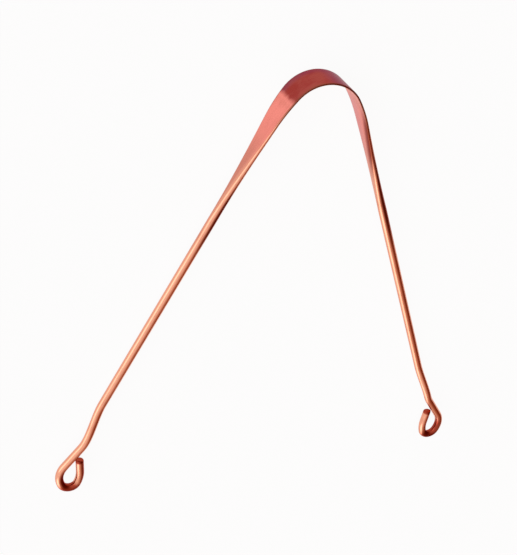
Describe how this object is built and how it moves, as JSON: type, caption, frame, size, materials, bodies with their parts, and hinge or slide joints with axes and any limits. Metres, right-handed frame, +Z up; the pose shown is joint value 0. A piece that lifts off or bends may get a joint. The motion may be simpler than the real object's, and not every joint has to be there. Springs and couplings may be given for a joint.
{
  "type": "tongue scraper",
  "caption": "Tongue scraper bent from copper wire: a thin bowed band that scrapes, round legs to hold, and a curled eye at each end.",
  "frame": {"origin": "centre of the footprint, on the surface that the object lies on", "axes": "+X across the legs to the right, +Y along the middle line towards the bow, +Z up from the surface that the object lies on"},
  "size_m": [0.1344, 0.1338, 0.01],
  "materials": {
    "rolled_copper": "rolled copper, satin, with light tarnish",
    "drawn_copper": "drawn copper wire, semi-bright"
  },
  "bodies": {
    "bow": {"blade_crown": "rolled_copper"},
    "left_arm": {"blade_left": "rolled_copper", "neck_left": "drawn_copper", "leg_left": "drawn_copper", "rise_left": "drawn_copper", "bend_left": "drawn_copper", "eye_left": "drawn_copper"},
    "right_arm": {"blade_right": "rolled_copper", "neck_right": "drawn_copper", "leg_right": "drawn_copper", "rise_right": "drawn_copper", "bend_right": "drawn_copper", "eye_right": "drawn_copper"}
  },
  "joints": [
    {"name": "left_flex", "type": "hinge", "parent": "bow", "child": "left_arm", "pos_m": [-0.00863, 0.06199, 0.0049], "axis": [0, -0.0373, 0.9993], "range_deg": [-10, 15], "stiffness_Nm_per_rad": 0.43},
    {"name": "right_flex", "type": "hinge", "parent": "bow", "child": "right_arm", "pos_m": [0.00863, 0.06199, 0.0049], "axis": [0, 0.0373, -0.9993], "range_deg": [-10, 15], "stiffness_Nm_per_rad": 0.43}
  ]
}
